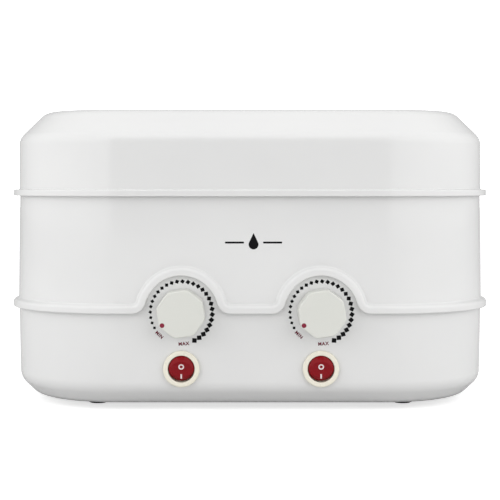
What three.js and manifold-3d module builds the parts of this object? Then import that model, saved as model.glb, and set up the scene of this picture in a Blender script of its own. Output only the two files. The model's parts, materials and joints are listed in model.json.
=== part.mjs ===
// Twin wax heater: one housing with two heated wells, two lift-out pots with bail handles, one common
// lid, and a dial and a rocker switch for each pot.
// Millimetres. +Z is up, the front faces -Y and +X is to the right seen from the front.
// The origin is on the table, in the middle of the space the heater takes up.
import * as THREE from 'three';
import { mergeVertices } from 'three/addons/utils/BufferGeometryUtils.js';
import Module from 'manifold-3d';

const wasm = await Module();
wasm.setup();

// ---------------------------------------------------------------------------------------------
// Driving dimensions

const gap = 0.3; // clearance between neighbouring pieces
const wall = 3; // moulded walls, floor and deck

// Plan of the housing and the lid: a rounded rectangle
const bodyHalfX = 156;
const bodyHalfY = 92;
const cornerRadius = 70;
const cornerSteps = 8;

// Heights above the table
const baseZ = 4; // underside of the base, held up by the feet
const baseChamfer = 11;
const seamZ = 66; // the upper housing sits on the base here
const deckZ = 126; // top of the deck that holds the wells
const housingTopZ = 139;
const lidLipZ = 136;
const lidLipTopZ = 140.2;
const lidTopZ = 192;
const lidChamfer = 18;

// How far the walls lie inside the plan outline
const baseDraft = 1.4;
const seamInset = 0.2;
const housingDraft = 0.7;
const lidInset = 0.2;
const lidLipReach = 3.5;

// The rib along the seam, which arches over the dials
const ribZ = 66.1;
const ribBelow = 3.8; // from the line of the rib to its crisp lower edge
const ribAbove = 2.6; // and to its rounded upper edge
const ribReach = 3.5;
const archRadius = 26.9;
const archFootRadius = 4.2;
const tabRadius = archRadius - ribBelow - 0.4; // front tabs of the base, hidden behind the rib
const archSteps = 32;

// Dials and switches
const controlX = 43.9;
const dialZ = 63.1;
const switchZ = 27.6;
const knobSides = 8;
const knobRadius = 15.6;
const knobReach = 14;
const pointerAngle = 211; // the pointer stands at the lowest heat
const pointerRadius = 13.3; // how far out the pointer dot sits
const dotRadius = 1.4;
const shaftRadius = 3;
const bushRadius = 4.8;
const bezelRadius = 11.5;
const bezelReach = 2;
const rockerRadius = 8;
const rockerTilt = 10; // each way from the middle

// Wells, pots and heaters
const potX = 70;
const wellRadius = 54; // inside
const sheet = 1.2;
const wellFloorZ = 54;
const potRadius = 52; // inside
const potRimZ = 130.5;
const heaterLowZ = 62;
const heaterHighZ = 102;
const heaterThickness = 2.7;
const bailZ = 133;
const bailHalfWidth = 59.5;
const bailReach = 52;
const bailWire = 1.75;
const roundSteps = 30;

// The ledge that the deck rests on
const ledgeWidth = 4;
const ledgeThickness = 2.5;

// Screw posts and feet, as distances from the middle of the body
const postX = 118;
const postY = 54;
const postRadius = 4.5;
const footX = 100;
const footY = 50;
const footRadius = 7;

// Rear inlet
const inletZ = 36;

// The knobs stand out further than the lip at the back, so the body sits behind the origin.
const bodyCentreY = (knobReach - lidLipReach) / 2;

const sides = [
  { name: 'left', sign: -1 },
  { name: 'right', sign: 1 },
];

// ---------------------------------------------------------------------------------------------
// Materials

function material(name, color, roughness, metalness) {
  return new THREE.MeshStandardMaterial({ name, color, roughness, metalness });
}

const whiteGloss = material('white_gloss', 0xf2f2f0, 0.22, 0);
const knobPlastic = material('knob_plastic', 0xe4e5df, 0.35, 0);
const pointerRed = material('pointer_red', 0x8c2a3a, 0.4, 0);
const bezelPlastic = material('bezel_plastic', 0xf3eee0, 0.35, 0);
const rockerRed = material('rocker_red', 0x8e1622, 0.2, 0);
const aluminium = material('aluminium', 0xc9cbcd, 0.35, 1);
const zincSteel = material('zinc_steel', 0xb5b8ba, 0.35, 1);
const heaterSteel = material('heater_steel', 0x9b8f7e, 0.45, 1);
const blackPlastic = material('black_plastic', 0x1c1c1e, 0.5, 0);
const brass = material('brass', 0xc8a75a, 0.3, 1);
const greyRubber = material('grey_rubber', 0x55565a, 0.85, 0);
const wireSleeve = material('wire_sleeve', 0xd8d4c8, 0.6, 0);

// ---------------------------------------------------------------------------------------------
// Solids

const degrees = THREE.MathUtils.degToRad;
const point = (x, y, z) => new THREE.Vector3(x, y, z);

// A closed geometry as a solid, with its faces turned outwards.
function solid(geometry) {
  const bare = geometry.clone();
  bare.deleteAttribute('normal');
  bare.deleteAttribute('uv');
  const merged = mergeVertices(bare, 1e-4);
  const vertProperties = new Float32Array(merged.attributes.position.array);
  const triVerts = new Uint32Array(merged.index.array);
  const made = new wasm.Manifold(new wasm.Mesh({ numProp: 3, vertProperties, triVerts }));
  if (made.volume() > 0) {
    return made;
  }
  for (let i = 0; i < triVerts.length; i += 3) {
    [triVerts[i + 1], triVerts[i + 2]] = [triVerts[i + 2], triVerts[i + 1]];
  }
  return new wasm.Manifold(new wasm.Mesh({ numProp: 3, vertProperties, triVerts }));
}

function geometryOf(made) {
  const mesh = made.getMesh();
  const geometry = new THREE.BufferGeometry();
  geometry.setAttribute('position', new THREE.BufferAttribute(mesh.vertProperties, 3));
  geometry.setIndex(new THREE.BufferAttribute(mesh.triVerts, 1));
  geometry.computeVertexNormals();
  return geometry;
}

function join(...parts) {
  return parts.reduce((whole, part) => whole.add(part));
}

function cut(whole, ...tools) {
  return tools.reduce((rest, tool) => rest.subtract(tool), whole);
}

// A block between two opposite corners.
function block(low, high) {
  const size = point().subVectors(high, low);
  const middle = point().addVectors(low, high).multiplyScalar(0.5);
  const geometry = new THREE.BoxGeometry(size.x, size.y, size.z);
  return solid(geometry.translate(middle.x, middle.y, middle.z));
}

// A round bar between two points.
function rod(radius, from, to, steps = 16) {
  const along = point().subVectors(to, from);
  const middle = point().addVectors(from, to).multiplyScalar(0.5);
  const geometry = new THREE.CylinderGeometry(radius, radius, along.length(), steps);
  const turn = new THREE.Quaternion().setFromUnitVectors(point(0, 1, 0), along.normalize());
  geometry.applyQuaternion(turn);
  return solid(geometry.translate(middle.x, middle.y, middle.z));
}

// A solid of revolution about Z; the profile is a list of [radius, z].
function turned(profile, steps) {
  const points = profile.map(([radius, z]) => new THREE.Vector2(radius, z));
  return solid(new THREE.LatheGeometry(points, steps).rotateX(Math.PI / 2));
}

// A ring-shaped solid of revolution: its profile closes on itself away from the axis.
function turnedRing(profile, steps) {
  return turned([...profile, profile[0]], steps);
}

function extruded(outline, depth, curveSegments = 8) {
  return new THREE.ExtrudeGeometry(outline, { depth, bevelEnabled: false, curveSegments });
}

// A closed skin over a stack of rings with the same number of points, the ends filled in.
function loft(rings) {
  const count = rings[0].length;
  const top = (rings.length - 1) * count;
  const index = [];
  for (let ring = 0; ring < rings.length - 1; ring += 1) {
    for (let i = 0; i < count; i += 1) {
      const a = ring * count + i;
      const b = ring * count + ((i + 1) % count);
      index.push(a, b, b + count, a, b + count, a + count);
    }
  }
  for (let i = 1; i < count - 1; i += 1) {
    index.push(0, i + 1, i, top, top + i, top + i + 1);
  }
  return skin(rings, index);
}

// A closed skin along a path that returns to its start: every ring is one section of it.
function loopSweep(rings) {
  const count = rings[0].length;
  const index = [];
  rings.forEach((_, ring) => {
    const next = ((ring + 1) % rings.length) * count;
    for (let i = 0; i < count; i += 1) {
      const j = (i + 1) % count;
      index.push(ring * count + i, next + i, next + j, ring * count + i, next + j, ring * count + j);
    }
  });
  return skin(rings, index);
}

function skin(rings, index) {
  const geometry = new THREE.BufferGeometry();
  const numbers = rings.flat().flatMap((corner) => corner.toArray());
  geometry.setAttribute('position', new THREE.Float32BufferAttribute(numbers, 3));
  geometry.setIndex(index);
  return solid(geometry);
}

// A wire through a list of points.
function wire(points, radius, steps) {
  const section = new THREE.Shape();
  section.absarc(0, 0, radius, 0, 2 * Math.PI);
  const extrudePath = new THREE.CatmullRomCurve3(points, false, 'centripetal');
  return new THREE.ExtrudeGeometry(section, { steps, extrudePath, curveSegments: 4 });
}

// ---------------------------------------------------------------------------------------------
// Outlines

function arc(centreX, centreY, radius, from, to, steps) {
  return Array.from({ length: steps + 1 }, (_, i) => {
    const angle = degrees(from + ((to - from) * i) / steps);
    return new THREE.Vector2(centreX + radius * Math.cos(angle), centreY + radius * Math.sin(angle));
  });
}

// The rounded rectangle of the body, moved outwards by offset, counterclockwise from above.
function planOutline(offset) {
  const x = bodyHalfX - cornerRadius;
  const y = bodyHalfY - cornerRadius;
  const radius = cornerRadius + offset;
  return [
    ...arc(x, -y, radius, -90, 0, cornerSteps),
    ...arc(x, y, radius, 0, 90, cornerSteps),
    ...arc(-x, y, radius, 90, 180, cornerSteps),
    ...arc(-x, -y, radius, 180, 270, cornerSteps),
  ];
}

// A profile of [offset, z, rounding] corners as points, each rounded corner as a curve.
function profilePoints(corners, steps = 2) {
  const at = (i) => new THREE.Vector2(corners[i][0], corners[i][1]);
  return corners.flatMap(([, , rounding], i) => {
    if (!rounding) {
      return [at(i)];
    }
    const towards = (j) => at(i).add(at(j).sub(at(i)).setLength(rounding));
    return new THREE.QuadraticBezierCurve(towards(i - 1), at(i), towards(i + 1)).getPoints(steps);
  });
}

// A solid with the body's plan and the given side profile, from the bottom up.
function planSolid(corners) {
  const rings = profilePoints(corners).map((level) =>
    planOutline(level.x).map((corner) => point(corner.x, corner.y, level.y)),
  );
  return loft(rings);
}

// ---------------------------------------------------------------------------------------------
// Base shell

// How far the base wall lies inside the plan outline at a height.
function baseInset(z) {
  return THREE.MathUtils.mapLinear(z, baseZ + baseChamfer, seamZ, baseDraft, seamInset);
}

function baseOuter(topZ, growth) {
  return planSolid([
    [-baseDraft - baseChamfer + growth, baseZ],
    [-baseDraft + growth, baseZ + baseChamfer],
    [-seamInset + growth, seamZ],
    [-seamInset + growth, topZ],
  ]);
}

// A round bar through the front wall behind one dial.
function dialBar(sign, radius, steps) {
  const from = point(sign * controlX, -bodyHalfY - 2 * ribReach, dialZ);
  const to = point(sign * controlX, -bodyHalfY + 2 * wall, dialZ);
  return rod(radius, from, to, steps);
}

function baseShell() {
  const tabTopZ = dialZ + tabRadius + wall;
  const room = bodyHalfX + wall;
  const belowSeam = block(point(-room, -room, 0), point(room, room, seamZ - gap));
  const kept = join(belowSeam, ...sides.map(({ sign }) => dialBar(sign, tabRadius, archSteps)));
  const inside = planSolid([
    [-baseDraft - baseChamfer - wall / 2, baseZ + wall],
    [-baseDraft - wall, baseZ + baseChamfer + wall / 2],
    [-seamInset - wall, seamZ],
    [-seamInset - wall, tabTopZ + wall],
  ]);
  const shell = cut(baseOuter(tabTopZ, 0).intersect(kept), inside);
  const bosses = screwPlaces().map((p) =>
    rod(bossRadius, point(p.x, p.y, baseZ + wall / 2), point(p.x, p.y, postBottomZ - gap)),
  );
  return cut(join(shell, ...bosses), ...baseOpenings());
}

function screwPlaces() {
  return sides.flatMap(({ sign }) => [
    point(sign * postX, -postY, 0),
    point(sign * postX, postY, 0),
  ]);
}

function footPlaces() {
  return sides.flatMap(({ sign }) => [
    point(sign * footX, -footY, 0),
    point(sign * footX, footY, 0),
  ]);
}

const bossRadius = 5; // raised floor round each case screw
const postBottomZ = 10;
const screwHeadRadius = 3.6;
const screwHeadTopZ = baseZ + 1.7;
const screwShankRadius = 1.8;
const footTopZ = baseZ + 0.8;
const inletHalfX = 13.7;
const inletHalfZ = 10;
const ventSlots = 5;
const ventPitch = 10;
const ventHalfWidth = 1.5;
const ventHalfLength = 20;

function baseOpenings() {
  const controls = sides.flatMap(({ sign }) => [
    dialBar(sign, bushRadius + gap, 16),
    rod(
      switchBodyRadius + gap,
      point(sign * controlX, -bodyHalfY - wall, switchZ),
      point(sign * controlX, -bodyHalfY + 3 * wall, switchZ),
      32,
    ),
  ]);
  const screws = screwPlaces().flatMap((p) => [
    rod(screwHeadRadius + gap, point(p.x, p.y, 0), point(p.x, p.y, screwHeadTopZ + gap)),
    rod(screwShankRadius + gap, point(p.x, p.y, 0), point(p.x, p.y, postBottomZ)),
  ]);
  const feet = footPlaces().map((p) =>
    rod(footRadius + gap, point(p.x, p.y, 0), point(p.x, p.y, footTopZ + gap)),
  );
  const inlet = block(
    point(-inletHalfX - gap, bodyHalfY - 3 * wall, inletZ - inletHalfZ - gap),
    point(inletHalfX + gap, bodyHalfY + wall, inletZ + inletHalfZ + gap),
  );
  const inletScrews = sides.map(({ sign }) => {
    const x = sign * flangeScrewX;
    const from = point(x, bodyHalfY - 3 * wall, inletZ);
    return rod(screwShankRadius + gap, from, point(x, bodyHalfY + wall, inletZ));
  });
  const vents = sides.flatMap(({ sign }) =>
    Array.from({ length: ventSlots }, (_, i) => {
      const x = sign * potX + (i - (ventSlots - 1) / 2) * ventPitch;
      return block(
        point(x - ventHalfWidth, -ventHalfLength, 0),
        point(x + ventHalfWidth, ventHalfLength, baseZ + 2 * wall),
      );
    }),
  );
  return [...controls, ...screws, ...feet, inlet, ...inletScrews, ...vents];
}

// ---------------------------------------------------------------------------------------------
// Upper housing with its seam rib

// The line of the rib across the front, as [x, z]: straight, with an arch over each dial.
function ribFrontLine() {
  const curlZ = ribZ + archFootRadius;
  const curlX = Math.sqrt((archRadius + archFootRadius) ** 2 - (curlZ - dialZ) ** 2);
  const lean = THREE.MathUtils.radToDeg(Math.atan2(curlZ - dialZ, curlX));
  return sides.flatMap(({ sign }) => {
    const x = sign * controlX;
    return [
      ...arc(x - curlX, curlZ, archFootRadius, -90, -lean, 3),
      ...arc(x, dialZ, archRadius, 180 - lean, lean, 16).slice(1, -1),
      ...arc(x + curlX, curlZ, archFootRadius, 180 + lean, 270, 3),
    ];
  });
}

// The whole line of the rib round the body, with the outward direction at each point.
function ribLine() {
  const front = ribFrontLine().map((p) => ({
    place: point(p.x, -bodyHalfY, p.y),
    outward: point(0, -1, 0),
  }));
  const round = planOutline(0).map((p) => {
    const centreX = Math.sign(p.x) * (bodyHalfX - cornerRadius);
    const centreY = Math.sign(p.y) * (bodyHalfY - cornerRadius);
    return {
      place: point(p.x, p.y, ribZ),
      outward: point(p.x - centreX, p.y - centreY, 0).normalize(),
    };
  });
  return [...front, ...round];
}

function seamRib() {
  // Across the rib: [outwards, upwards]. The lower edge is crisp and the upper one is rounded.
  const root = -wall / 3;
  const lowerBevel = 0.9;
  const section = [
    [root, -ribBelow],
    [ribReach - lowerBevel, -ribBelow],
    [ribReach, -ribBelow + lowerBevel],
    [ribReach, 0],
    [0.75 * ribReach, 0.6 * ribAbove],
    [0, ribAbove],
    [root, ribAbove],
  ];
  const line = ribLine();
  const rings = line.map(({ place, outward }, i) => {
    const before = line[(i + line.length - 1) % line.length].place;
    const after = line[(i + 1) % line.length].place;
    const tangent = point().subVectors(after, before).normalize();
    const upward = point().crossVectors(outward, tangent).normalize();
    return section.map(([out, up]) =>
      place.clone().addScaledVector(outward, out).addScaledVector(upward, up),
    );
  });
  return loopSweep(rings);
}

// The wall of the upper housing, with a ledge inside for the deck to rest on.
function upperHousing() {
  const outer = planSolid([
    [0, seamZ - ribBelow],
    [0, seamZ + ribBelow],
    [-housingDraft, housingTopZ],
  ]);
  const inside = planSolid([
    [-seamInset - wall, seamZ - 2 * ribBelow],
    [-housingDraft - wall, deckZ - wall],
    [-housingDraft - wall, housingTopZ + wall],
  ]);
  const ledgeTopZ = deckZ - wall - gap;
  const ledge = cut(
    planSolid([
      [-housingDraft - wall / 2, ledgeTopZ - ledgeThickness],
      [-housingDraft - wall / 2, ledgeTopZ],
    ]),
    planSolid([
      [-housingDraft - wall - ledgeWidth, ledgeTopZ - 2 * ledgeThickness],
      [-housingDraft - wall - ledgeWidth, ledgeTopZ + ledgeThickness],
    ]),
  );
  const dialRoom = sides.map(({ sign }) => dialBar(sign, tabRadius + 4 * gap, archSteps));
  const walls = cut(outer, inside, baseOuter(seamZ, gap), ...dialRoom);
  const rib = cut(seamRib(), baseOuter(seamZ, gap), inside);
  return join(walls, rib, ledge);
}

// ---------------------------------------------------------------------------------------------
// Deck: the panel that holds the wells, with the posts that the case screws pull down

function deck() {
  const edge = -housingDraft - wall - gap;
  const panel = planSolid([
    [edge, deckZ - wall],
    [edge, deckZ],
  ]);
  const posts = screwPlaces().map((p) =>
    rod(postRadius, point(p.x, p.y, postBottomZ), point(p.x, p.y, deckZ - wall / 2)),
  );
  const pilots = screwPlaces().map((p) =>
    rod(screwShankRadius + gap, point(p.x, p.y, 0), point(p.x, p.y, screwTopZ + gap)),
  );
  const wellHoles = sides.map(({ sign }) =>
    rod(
      wellRadius + sheet + gap,
      point(sign * potX, 0, deckZ - 2 * wall),
      point(sign * potX, 0, deckZ + wall),
      roundSteps,
    ),
  );
  return cut(join(panel, ...posts), ...pilots, ...wellHoles);
}

// ---------------------------------------------------------------------------------------------
// Lid

function lid() {
  const outer = planSolid([
    [lidLipReach - 0.4, lidLipZ],
    [lidLipReach, lidLipZ + 0.8],
    [lidLipReach, lidLipTopZ, 0.9],
    [-lidInset, lidLipTopZ, 0.8],
    [-lidInset, lidTopZ - lidChamfer, 4.5],
    [-lidInset - lidChamfer, lidTopZ, 5.5],
    [-lidInset - 2 * lidChamfer, lidTopZ],
  ]);
  const inner = planSolid([
    [-housingDraft + gap, lidLipZ - wall],
    [-housingDraft + gap, housingTopZ + gap],
    [-lidInset - wall, housingTopZ + gap],
    [-lidInset - wall, lidTopZ - lidChamfer - wall / 2, 6],
    [-lidInset - lidChamfer - wall / 2, lidTopZ - wall, 6],
    [-lidInset - 2 * lidChamfer, lidTopZ - wall],
  ]);
  return cut(outer, inner);
}

// ---------------------------------------------------------------------------------------------
// Wells, heaters and pots

function well() {
  const flangeZ = deckZ + gap;
  const outer = wellRadius + sheet;
  return turned(
    [
      [0, wellFloorZ],
      [outer, wellFloorZ],
      [outer, flangeZ],
      [wellRadius + 6, flangeZ],
      [wellRadius + 6, flangeZ + sheet],
      [wellRadius, flangeZ + sheet],
      [wellRadius, wellFloorZ + sheet],
      [0, wellFloorZ + sheet],
    ],
    roundSteps,
  );
}

const heaterInner = wellRadius + sheet + gap;
const heaterGap = 8; // the open stretch that the clamp screw closes
const lugLength = 9;
const lugThickness = 2.4;
const clampZ = (heaterLowZ + heaterHighZ) / 2;
const clampY = heaterInner + heaterThickness + lugLength / 2;
const clampShankRadius = 1.8;
const lugHalfHeight = 8;

// A band round the well, open at the back, with a lug each side of the opening.
function bandHeater() {
  const outer = heaterInner + heaterThickness;
  const band = turnedRing(
    [
      [heaterInner, heaterLowZ],
      [outer, heaterLowZ],
      [outer, heaterHighZ],
      [heaterInner, heaterHighZ],
    ],
    roundSteps,
  );
  const split = block(
    point(-heaterGap / 2, 0, heaterLowZ - 1),
    point(heaterGap / 2, 2 * outer, heaterHighZ + 1),
  );
  const lugs = sides.map(({ sign }) => {
    const near = (sign * heaterGap) / 2;
    const far = near + sign * lugThickness;
    return block(
      point(Math.min(near, far), outer - heaterThickness / 2, clampZ - lugHalfHeight),
      point(Math.max(near, far), outer + lugLength, clampZ + lugHalfHeight),
    );
  });
  const reach = heaterGap + lugThickness;
  const hole = rod(
    clampShankRadius + gap,
    point(-reach, clampY, clampZ),
    point(reach, clampY, clampZ),
  );
  return cut(join(cut(band, split), ...lugs), hole);
}

function clampScrew() {
  const lugFace = heaterGap / 2 + lugThickness + gap;
  const at = (x) => point(x, clampY, clampZ);
  const shank = rod(clampShankRadius, at(-lugFace - 3), at(lugFace));
  const head = rod(3.4, at(lugFace), at(lugFace + 2.6));
  return join(shank, head);
}

function thermalFuse() {
  const radius = 2;
  const halfLength = 8;
  const z = wellFloorZ - gap - radius;
  return rod(radius, point(-halfLength, 0, z), point(halfLength, 0, z), 12);
}

const earThickness = 2;
const earHalfWidth = 5.5;
const earTopRadius = 3.9;
const earX = potRadius + sheet + 2.4;

// The pot: a spun cup with a rolled rim and an ear for the bail at each side.
function pot() {
  const outer = potRadius + sheet;
  const floorZ = wellFloorZ + sheet + gap;
  const seatZ = deckZ + gap + sheet + gap;
  const cup = turned(
    [
      [0, floorZ],
      [outer - 3.2, floorZ],
      [outer - 0.9, floorZ + 0.9],
      [outer, floorZ + 3.2],
      [outer, seatZ],
      [outer + 3.3, seatZ],
      [outer + 3.9, potRimZ - 1.3],
      [outer + 3.3, potRimZ],
      [potRadius + 0.6, potRimZ],
      [potRadius, potRimZ - 0.6],
      [potRadius, floorZ + 3.2],
      [potRadius - 0.9, floorZ + sheet + 0.9],
      [potRadius - 3.2, floorZ + sheet],
      [0, floorZ + sheet],
    ],
    roundSteps,
  );
  const ears = sides.map(({ sign }) => {
    const outline = new THREE.Shape();
    outline.moveTo(-earHalfWidth, potRimZ - 1.5);
    outline.lineTo(earHalfWidth, potRimZ - 1.5);
    outline.absarc(0, bailZ, earTopRadius, 0, Math.PI);
    const plate = extruded(outline, earThickness).rotateX(Math.PI / 2).rotateZ(Math.PI / 2);
    return solid(plate.translate(sign * earX - earThickness / 2, 0, 0));
  });
  const holes = sides.map(({ sign }) =>
    rod(
      bailWire + gap,
      point(sign * (earX - earThickness), 0, bailZ),
      point(sign * (earX + earThickness), 0, bailZ),
    ),
  );
  return cut(join(cup, ...ears), ...holes);
}

// The bail lies back over the rim: its ends turn in through the ears.
function bail() {
  const endX = earX - earThickness;
  const elbow = 2.6;
  const half = [
    point(endX, 0, bailZ),
    point(bailHalfWidth - elbow, 0, bailZ),
    point(bailHalfWidth - 0.3 * elbow, 0.3 * elbow, bailZ),
  ];
  const bow = Array.from({ length: 15 }, (_, i) => {
    const angle = degrees(6 + (168 * i) / 14);
    return point(bailHalfWidth * Math.cos(angle), bailReach * Math.sin(angle), bailZ);
  });
  const otherHalf = half.map((p) => point(-p.x, p.y, p.z)).reverse();
  return wire([...half, ...bow, ...otherHalf], bailWire, 32);
}

// ---------------------------------------------------------------------------------------------
// Controls. Their own frame has X to the right, Y up and Z out of the front wall.

const thermostatHalf = 15;
const thermostatDepth = 22;
const bushLength = 3.4; // beyond the front of the wall
const nutThickness = 2.4;
const knobFootZ = 0.8;
const knobBoreTop = 10.8;
const nutAcross = 8; // from the nut's middle to a corner
const switchBodyRadius = 9.9;
const switchDepth = 18;
const bladeLength = 7;
const bladeOffset = 5;
const recessRadius = rockerRadius + 0.5;
const recessDepth = 3.5;

function thermostat() {
  const back = -wall - 2 * gap - baseInset(dialZ - thermostatHalf);
  const body = block(
    point(-thermostatHalf, -thermostatHalf, back - thermostatDepth),
    point(thermostatHalf, thermostatHalf, back),
  );
  const bush = rod(bushRadius, point(0, 0, back - 1), point(0, 0, bushLength));
  const bore = rod(shaftRadius + gap, point(0, 0, back - 10), point(0, 0, bushLength + 1));
  return cut(join(body, bush), bore);
}

function shaft() {
  return rod(shaftRadius, point(0, 0, -4 * wall), point(0, 0, knobBoreTop - gap));
}

function nut() {
  const hexagon = rod(nutAcross, point(0, 0, gap), point(0, 0, gap + nutThickness), 6);
  return cut(hexagon, rod(bushRadius + gap, point(0, 0, -1), point(0, 0, 5)));
}

// One level of the knob: eight slightly bulging sides, with a corner at the pointer.
function knobRing(scale, z) {
  const bulge = 0.5;
  const flatRadius = knobRadius * Math.cos(Math.PI / knobSides) + bulge;
  return Array.from({ length: 2 * knobSides }, (_, i) => {
    const radius = scale * (i % 2 === 0 ? knobRadius : flatRadius);
    const angle = degrees(pointerAngle + (180 * i) / knobSides);
    return point(radius * Math.cos(angle), radius * Math.sin(angle), z);
  });
}

function knob() {
  const body = loft([
    knobRing(1, knobFootZ),
    knobRing(1, knobReach - 1.2),
    knobRing(0.95, knobReach),
  ]);
  const nutRoom = rod(nutAcross + 2, point(0, 0, 0), point(0, 0, bushLength + 1.6));
  const bore = rod(shaftRadius + gap, point(0, 0, 0), point(0, 0, knobBoreTop));
  const pointerSeat = rod(dotRadius + gap, pointerPlace(knobReach - 1), pointerPlace(knobReach + 1));
  return cut(body, nutRoom, bore, pointerSeat);
}

function pointerPlace(z) {
  const angle = degrees(pointerAngle);
  return point(pointerRadius * Math.cos(angle), pointerRadius * Math.sin(angle), z);
}

function pointerDot() {
  return rod(dotRadius, pointerPlace(knobReach - 1 + gap), pointerPlace(knobReach + 0.05));
}

function switchBody() {
  const shell = turned(
    [
      [0, -switchDepth],
      [switchBodyRadius, -switchDepth],
      [switchBodyRadius, gap],
      [bezelRadius, gap],
      [bezelRadius, 0.6 * bezelReach],
      [bezelRadius - 0.8, bezelReach],
      [recessRadius, bezelReach],
      [recessRadius, -recessDepth],
      [0, -recessDepth],
    ],
    32,
  );
  const blades = sides.map(({ sign }) => {
    const y = sign * bladeOffset;
    const end = -switchDepth - bladeLength;
    return block(point(-3, y - 0.4, end), point(3, y + 0.4, -switchDepth + 1));
  });
  return join(shell, ...blades);
}

// A round paddle with a shallow V across its face, so that the pressed half lies level.
function rocker() {
  const half = rockerRadius + 1;
  const rise = half * Math.tan(degrees(rockerTilt));
  const outline = new THREE.Shape([
    new THREE.Vector2(-half, -2),
    new THREE.Vector2(half, -2),
    new THREE.Vector2(half, 1 + rise),
    new THREE.Vector2(0, 1),
    new THREE.Vector2(-half, 1 + rise),
  ]);
  const notched = extruded(outline, 2 * half).translate(0, 0, -half);
  const bar = solid(notched.rotateX(Math.PI / 2).rotateZ(Math.PI / 2));
  return bar.intersect(rod(rockerRadius, point(0, 0, -5), point(0, 0, 5), 32));
}

// ---------------------------------------------------------------------------------------------
// Base fittings

function foot() {
  return turned(
    [
      [0, 0],
      [footRadius - 1, 0],
      [footRadius, 1],
      [footRadius, footTopZ],
      [0, footTopZ],
    ],
    16,
  );
}

const screwTopZ = 26;

function caseScrew() {
  const head = rod(screwHeadRadius, point(0, 0, baseZ + gap), point(0, 0, screwHeadTopZ));
  const shank = rod(screwShankRadius, point(0, 0, baseZ + 1), point(0, 0, screwTopZ), 12);
  return join(head, shank);
}

// The inlet's own frame has X to the right seen from behind, Y up and Z out of the rear wall.
const inletFlange = 2.6;
const inletDepth = 21;
const pinPitch = 7;
const pinTip = -4;
const socketFloor = -16;
const flangeScrewX = 20;
const flangeHalfX = 25;
const flangeHalfY = 12;
const socketHalfX = 12;
const socketHalfY = 8;

function inletBody() {
  const flange = block(
    point(-flangeHalfX, -flangeHalfY, gap),
    point(flangeHalfX, flangeHalfY, inletFlange),
  );
  const trunk = block(
    point(-inletHalfX, -inletHalfZ, -inletDepth),
    point(inletHalfX, inletHalfZ, inletFlange / 2),
  );
  const socket = block(
    point(-socketHalfX, -socketHalfY, socketFloor),
    point(socketHalfX, socketHalfY, inletFlange + 1),
  );
  const holes = sides.map(({ sign }) => {
    const x = sign * flangeScrewX;
    return rod(screwShankRadius + gap, point(x, 0, -1), point(x, 0, 2 * inletFlange));
  });
  const pinHoles = pinPlaces().map((p) =>
    block(point(p.x - 1.3, p.y - 2.3, -inletDepth - 1), point(p.x + 1.3, p.y + 2.3, 0)),
  );
  return cut(join(flange, trunk), socket, ...holes, ...pinHoles);
}

function pinPlaces() {
  return [point(-pinPitch, -2, 0), point(0, 2, 0), point(pinPitch, -2, 0)];
}

function inletPin(place) {
  return block(
    point(place.x - 1, place.y - 2, -inletDepth - 5),
    point(place.x + 1, place.y + 2, pinTip),
  );
}

function flangeScrew(sign) {
  const x = sign * flangeScrewX;
  const face = inletFlange + gap;
  const head = rod(3.2, point(x, 0, face), point(x, 0, face + 1.1));
  return join(head, rod(screwShankRadius, point(x, 0, -9), point(x, 0, face + 0.5), 12));
}

const terminalHalfX = 22;
const terminalFrontY = 30;
const terminalBackY = 46;
const terminalTopZ = 23;
const terminalPitch = 8;

function terminalBlock() {
  const body = block(
    point(-terminalHalfX, terminalFrontY, baseZ + wall + gap),
    point(terminalHalfX, terminalBackY, terminalTopZ),
  );
  const screwHoles = Array.from({ length: 5 }, (_, i) => {
    const x = (i - 2) * terminalPitch;
    const y = (terminalFrontY + terminalBackY) / 2;
    return rod(2.2, point(x, y, terminalTopZ - 6), point(x, y, terminalTopZ + 1), 12);
  });
  return cut(body, ...screwHoles);
}

// ---------------------------------------------------------------------------------------------
// Wiring, in the body's frame

const wireRadius = 1.1;
const terminalZ = 15;

// A lead from one inlet pin down to the back of the terminal block.
function inletLead(place) {
  const startY = bodyHalfY - baseInset(inletZ) - inletDepth - 5 - gap;
  const z = inletZ + place.y;
  return wire(
    [
      point(-place.x, startY, z),
      point(-place.x, startY - 5, z),
      point(-place.x, startY - 9, (z + terminalZ) / 2),
      point(-place.x, terminalBackY + 6, terminalZ),
      point(-place.x, terminalBackY + gap, terminalZ),
    ],
    wireRadius,
    9,
  );
}

const bladeTipY = baseInset(switchZ + bezelRadius) - bodyHalfY + switchDepth + bladeLength + gap;
const thermostatBackY =
  seamInset - bodyHalfY + wall + 3 * gap + baseInset(dialZ - thermostatHalf) + thermostatDepth;

function switchLead(sign) {
  return wire(
    [
      point(sign * 14, terminalFrontY - gap, terminalZ),
      point(sign * 15, terminalFrontY - 12, terminalZ),
      point(sign * 30, -10, 18),
      point(sign * controlX, bladeTipY + 14, switchZ - bladeOffset),
      point(sign * controlX, bladeTipY, switchZ - bladeOffset),
    ],
    wireRadius,
    12,
  );
}

function linkLead(sign) {
  return wire(
    [
      point(sign * controlX, bladeTipY, switchZ + bladeOffset),
      point(sign * controlX, bladeTipY + 8, switchZ + bladeOffset + 2),
      point(sign * controlX, bladeTipY + 10, 42),
      point(sign * controlX, thermostatBackY + 6, 52),
      point(sign * controlX, thermostatBackY, 53),
    ],
    wireRadius,
    10,
  );
}

function heaterLead(sign) {
  const out = heaterInner + heaterThickness + gap;
  const angle = degrees(-118);
  const onBand = (radius, z) =>
    point(sign * (potX + radius * Math.cos(angle)), radius * Math.sin(angle), z);
  return wire(
    [
      point(sign * controlX, thermostatBackY, 70),
      point(sign * controlX, thermostatBackY + 3, 71),
      onBand(out + 5, 78),
      onBand(out + 0.4, 80),
    ],
    wireRadius,
    9,
  );
}

// ---------------------------------------------------------------------------------------------
// Assembly

const product = new THREE.Group();
const body = new THREE.Group();
body.position.y = bodyCentreY;
product.add(body);

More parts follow.
